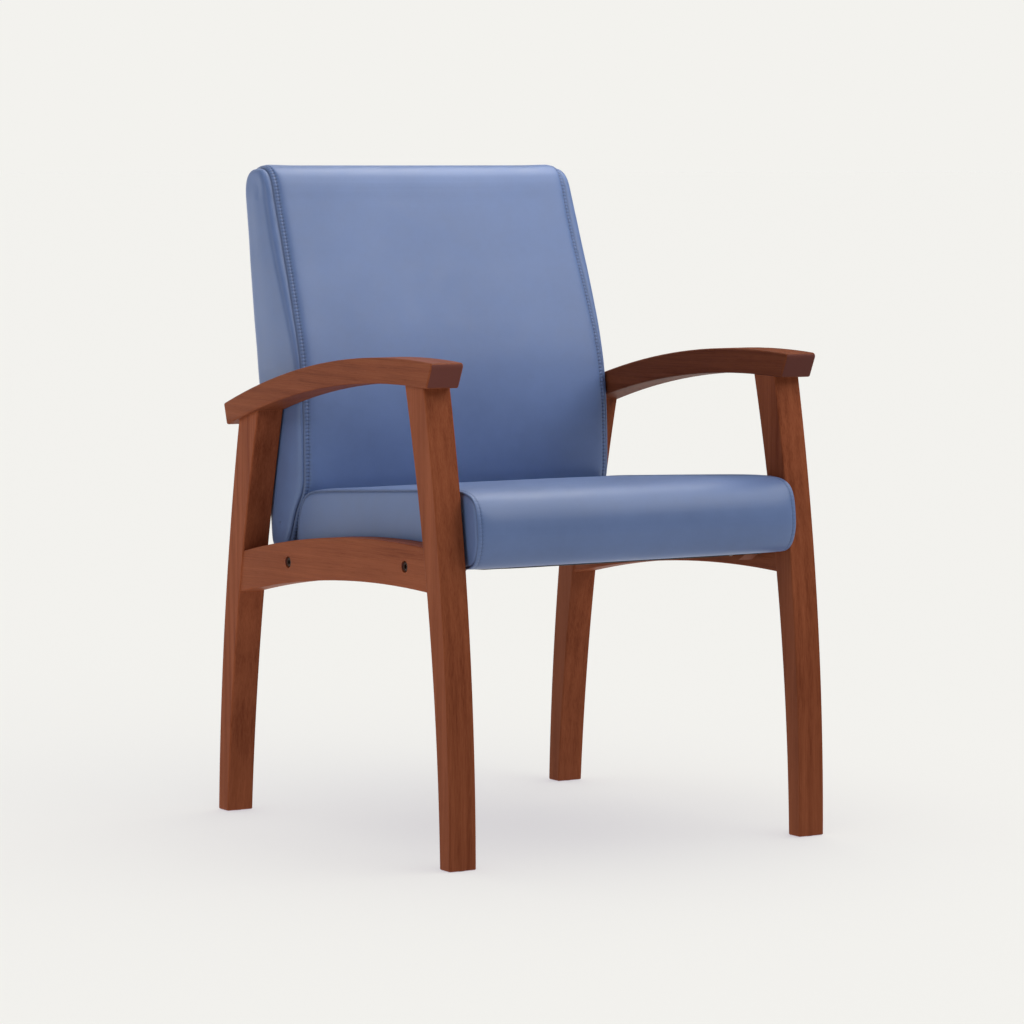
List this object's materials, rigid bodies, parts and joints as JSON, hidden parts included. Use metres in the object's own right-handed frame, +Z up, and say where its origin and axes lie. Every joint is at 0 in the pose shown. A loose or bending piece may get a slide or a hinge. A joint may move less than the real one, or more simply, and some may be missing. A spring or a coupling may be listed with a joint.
{
  "type": "visitor armchair",
  "caption": "Visitor armchair with a curved stained-hardwood frame, arched armrests and a vinyl-covered seat and high back; it stands free on four legs.",
  "frame": {"origin": "middle of the footprint box, on the floor", "axes": "+Z up; the chair faces -Y; +X is to the right of someone who faces the chair"},
  "size_m": [0.614, 0.649, 0.92],
  "materials": {
    "stained_hardwood": "satin",
    "frame_timber": "matte",
    "blue_vinyl": "satin",
    "foam": "matte",
    "webbing": "matte",
    "dust_cloth": "matte",
    "black_steel": "satin",
    "zinc_steel": "satin",
    "brown_nylon": "matte"
  },
  "bodies": {
    "root": {"front_leg_left": "stained_hardwood", "front_leg_right": "stained_hardwood", "rear_leg_left": "stained_hardwood", "rear_leg_right": "stained_hardwood", "side_rail_left": "stained_hardwood", "side_rail_right": "stained_hardwood", "armrest_left": "stained_hardwood", "armrest_right": "stained_hardwood", "seat_side_left": "stained_hardwood", "seat_side_right": "stained_hardwood", "seat_front_rail": "frame_timber", "seat_rear_rail": "frame_timber", "back_stile_left": "frame_timber", "back_stile_right": "frame_timber", "back_top_rail": "frame_timber", "back_lumbar_rail": "frame_timber", "back_bottom_rail": "frame_timber", "seat_corner_blocks": "frame_timber", "rail_dowels": "frame_timber", "arm_dowels": "frame_timber", "seat_frame_dowels": "frame_timber", "back_frame_dowels": "frame_timber", "seat_cover_main": "blue_vinyl", "seat_cover_side_left": "blue_vinyl", "seat_cover_side_right": "blue_vinyl", "back_cover_main": "blue_vinyl", "back_cover_side_left": "blue_vinyl", "back_cover_side_right": "blue_vinyl", "seat_foam": "foam", "back_foam": "foam", "back_rear_foam": "foam", "seat_webbing_long": "webbing", "seat_webbing_cross": "webbing", "back_webbing": "webbing", "seat_dust_cover": "dust_cloth", "frame_bolts_front": "black_steel", "frame_bolts_rear": "black_steel", "bolt_washers": "black_steel", "frame_tee_nuts": "zinc_steel", "back_bolts": "zinc_steel", "back_bolt_washers": "zinc_steel", "back_tee_nuts": "zinc_steel", "corner_block_screws": "zinc_steel", "dust_cover_staples": "zinc_steel", "glide_nails": "zinc_steel", "leg_glides": "brown_nylon", "spacer_bushes": "brown_nylon"}
  },
  "joints": []
}
